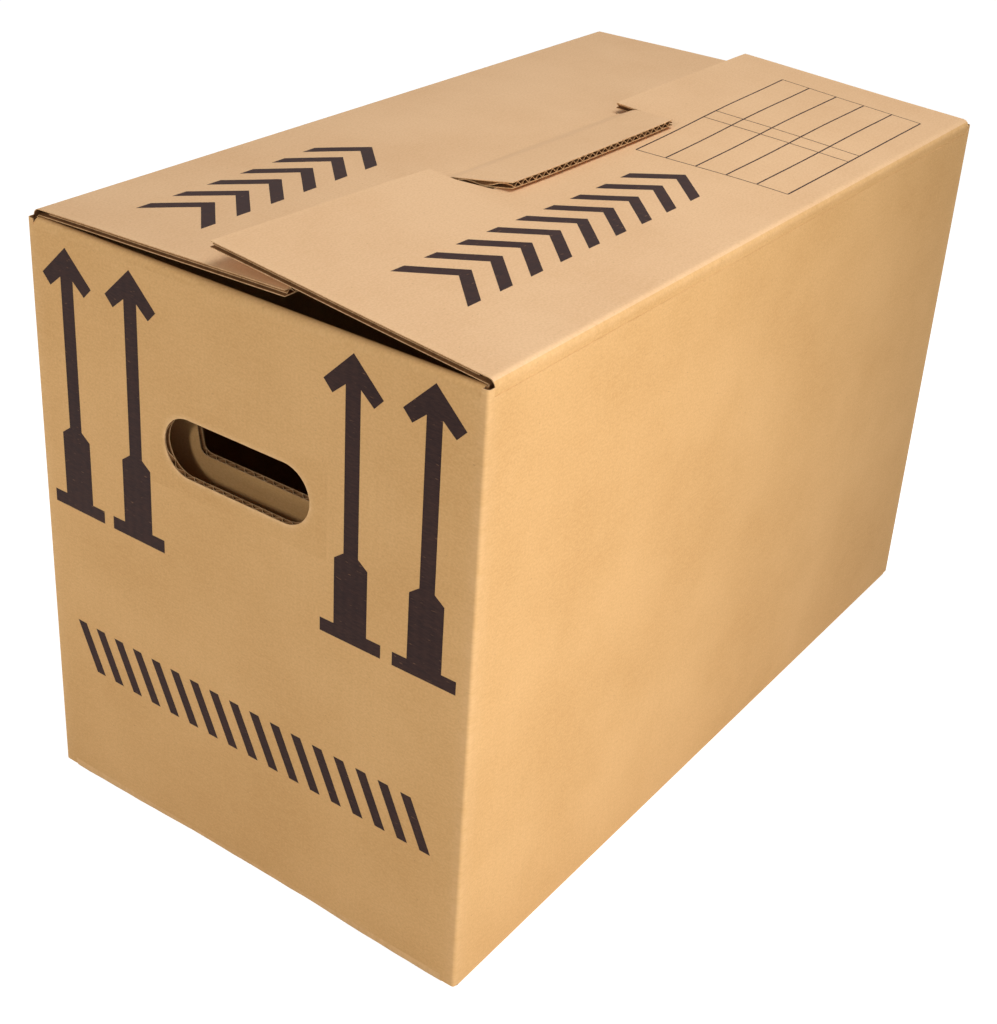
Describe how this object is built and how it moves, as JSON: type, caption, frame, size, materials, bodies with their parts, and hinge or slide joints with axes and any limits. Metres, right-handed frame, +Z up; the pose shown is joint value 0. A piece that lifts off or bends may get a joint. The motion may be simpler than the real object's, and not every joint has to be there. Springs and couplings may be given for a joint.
{
  "type": "cardboard moving box",
  "caption": "Corrugated moving box closed by two long lid flaps, one with a tongue that hooks over the other, with hand holes in both ends.",
  "frame": {"origin": "middle of the base, on the surface that the box stands on", "axes": "+X along the box towards the end away from the camera, +Y across it from the near lid's wall to the far lid's wall, +Z up"},
  "size_m": [0.6, 0.33, 0.4136],
  "materials": {
    "kraft_board": "brown kraft liner, matt, with faint fibres and flute lines",
    "kraft_lid": "brown kraft liner, matt",
    "board_edge": "cut edge of corrugated board with open flutes",
    "print_ink": "matt dark brown flexographic print"
  },
  "bodies": {
    "root": {"box_body": "kraft_board"},
    "near_lid": {"near_lid_flap": "kraft_lid"},
    "far_lid": {"far_lid_flap": "kraft_lid"}
  },
  "joints": [
    {"name": "near_lid_hinge", "type": "hinge", "parent": "root", "child": "near_lid", "pos_m": [0, -0.163, 0.396], "axis": [1, 0, 0], "range_deg": [0, 180]},
    {"name": "far_lid_hinge", "type": "hinge", "parent": "root", "child": "far_lid", "pos_m": [0, 0.163, 0.396], "axis": [-1, 0, 0], "range_deg": [0, 140.4]}
  ],
  "couplings": [
    {"joint": "far_lid_hinge", "follows": "near_lid_hinge", "ratio": 0.78}
  ]
}
